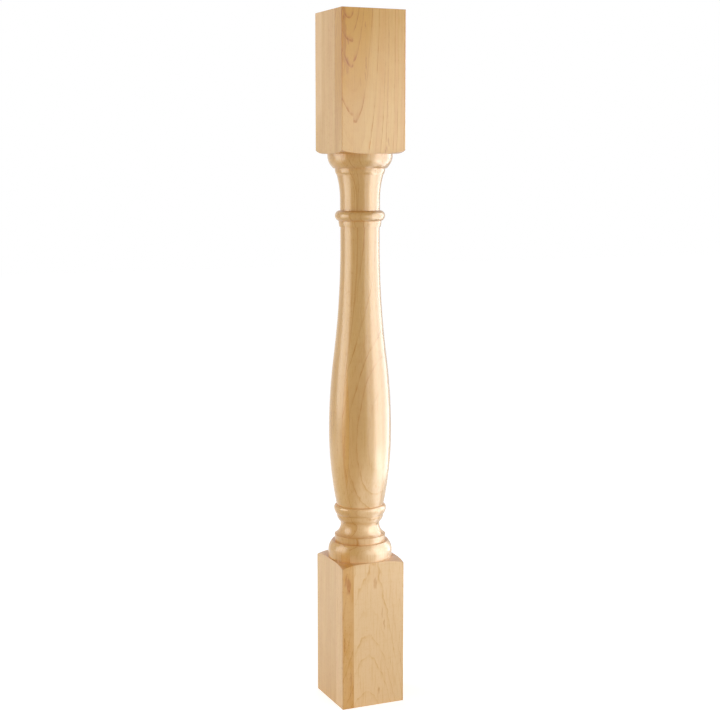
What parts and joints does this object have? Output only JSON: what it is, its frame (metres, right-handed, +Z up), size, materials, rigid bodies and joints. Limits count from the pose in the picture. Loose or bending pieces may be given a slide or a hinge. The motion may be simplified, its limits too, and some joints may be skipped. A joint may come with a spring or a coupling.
{
  "type": "newel post",
  "caption": "Square-ended turned wooden post with a long vase, cove, astragal and bead, for carrying a handrail or the corner of a counter.",
  "frame": {"origin": "centre of the square underside, where the post stands on the floor", "axes": "+Z up along the post's own axis, +X and +Y square to the flat faces of the blocks, with the flat-sawn show face towards -Y"},
  "size_m": [0.0888, 0.0888, 0.9144],
  "materials": {
    "maple": "satin"
  },
  "bodies": {
    "root": {"newel_post": "maple"}
  },
  "joints": []
}
